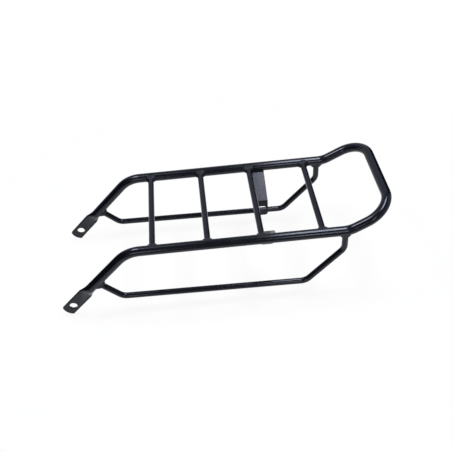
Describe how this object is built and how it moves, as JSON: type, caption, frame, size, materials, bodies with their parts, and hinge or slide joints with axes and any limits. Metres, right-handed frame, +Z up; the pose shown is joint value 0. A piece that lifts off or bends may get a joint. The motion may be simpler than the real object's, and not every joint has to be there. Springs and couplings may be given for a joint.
{
  "type": "motorcycle luggage rack",
  "caption": "Welded tubular luggage rack with a kicked-up rear loop, cross bars, low side rods, flattened front mounting tabs and inner slotted brackets, in black powder coat.",
  "frame": {"origin": "midway between the two front bolt holes, on their common axis", "axes": "+X to the rear of the motorcycle, +Y to the rider's right, +Z up, with the luggage rails level"},
  "size_m": [0.56, 0.211, 0.1728],
  "materials": {
    "hoop_paint": "satin black powder coat",
    "rod_paint": "satin black powder coat",
    "bracket_paint": "satin black powder coat on flat bar",
    "weld_paint": "weld bead under black powder coat"
  },
  "bodies": {
    "root": {"main_hoop": "hoop_paint", "cross_bar_1": "rod_paint", "cross_bar_1_weld_left": "weld_paint", "cross_bar_1_weld_right": "weld_paint", "cross_bar_2": "rod_paint", "cross_bar_2_weld_left": "weld_paint", "cross_bar_2_weld_right": "weld_paint", "cross_bar_3": "rod_paint", "cross_bar_3_weld_left": "weld_paint", "cross_bar_3_weld_right": "weld_paint", "cross_bar_4": "rod_paint", "cross_bar_4_weld_left": "weld_paint", "cross_bar_4_weld_right": "weld_paint", "side_rod_left": "rod_paint", "side_rod_foot_weld_left": "weld_paint", "side_rod_head_weld_left": "weld_paint", "bracket_left": "bracket_paint", "bracket_welds_left": "weld_paint", "side_rod_right": "rod_paint", "side_rod_foot_weld_right": "weld_paint", "side_rod_head_weld_right": "weld_paint", "bracket_right": "bracket_paint", "bracket_welds_right": "weld_paint"}
  },
  "joints": []
}
